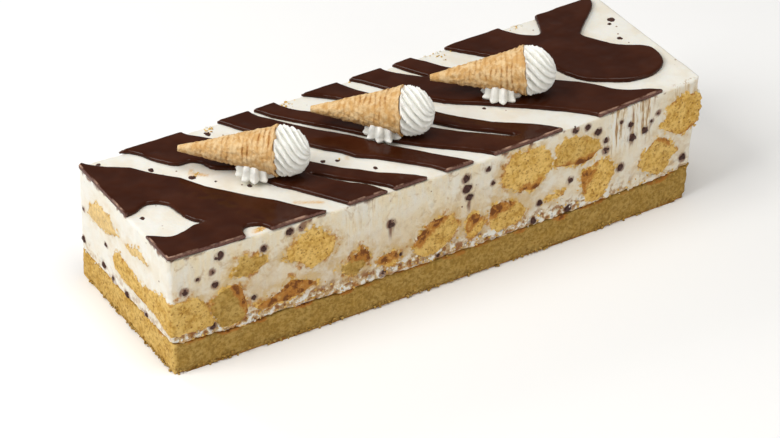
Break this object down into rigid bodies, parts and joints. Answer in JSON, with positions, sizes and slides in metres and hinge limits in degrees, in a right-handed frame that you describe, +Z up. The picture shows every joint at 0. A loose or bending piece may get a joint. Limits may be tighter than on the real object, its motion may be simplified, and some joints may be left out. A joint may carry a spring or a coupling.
{
  "type": "waffle cone bar cake",
  "caption": "Long rectangular bar cake: sponge base, cream layer with sponge pieces and chocolate chips, diagonal chocolate stripes, small filled wafer cones on top.",
  "frame": {"origin": "middle of the underside's bounding box", "axes": "+X along the length towards the end where the top leans out, -Y towards the front side, +Z up"},
  "size_m": [0.2916, 0.0966, 0.0914],
  "materials": {
    "sponge": "matt, open crumb",
    "cream": "soft satin",
    "chocolate": "glossy",
    "wafer": "matt, baked",
    "piped_cream": "soft satin"
  },
  "bodies": {
    "root": {"base_sponge": "sponge", "chocolate_1": "chocolate", "chocolate_2": "chocolate", "chocolate_3": "chocolate", "chocolate_4": "chocolate", "chocolate_5": "chocolate", "chocolate_6": "chocolate", "cone_1": "wafer", "cone_2": "wafer", "cone_3": "wafer", "cone_cream_1": "piped_cream", "cone_cream_2": "piped_cream", "cone_cream_3": "piped_cream", "cream": "cream", "rosette_1": "piped_cream", "rosette_2": "piped_cream", "rosette_3": "piped_cream", "sponge_back_01": "sponge", "sponge_back_02": "sponge", "sponge_back_03": "sponge", "sponge_back_04": "sponge", "sponge_back_05": "sponge", "sponge_back_06": "sponge", "sponge_back_07": "sponge", "sponge_back_08": "sponge", "sponge_back_09": "sponge", "sponge_front_01": "sponge", "sponge_front_02": "sponge", "sponge_front_03": "sponge", "sponge_front_04": "sponge", "sponge_front_05": "sponge", "sponge_front_06": "sponge", "sponge_front_07": "sponge", "sponge_front_08": "sponge", "sponge_front_09": "sponge", "sponge_front_10": "sponge", "sponge_front_11": "sponge", "sponge_front_12": "sponge", "sponge_front_13": "sponge", "sponge_front_14": "sponge", "sponge_front_15": "sponge", "sponge_front_16": "sponge", "sponge_left_01": "sponge", "sponge_left_02": "sponge", "sponge_right_01": "sponge", "sponge_right_02": "sponge", "sponge_right_03": "sponge"}
  },
  "joints": []
}
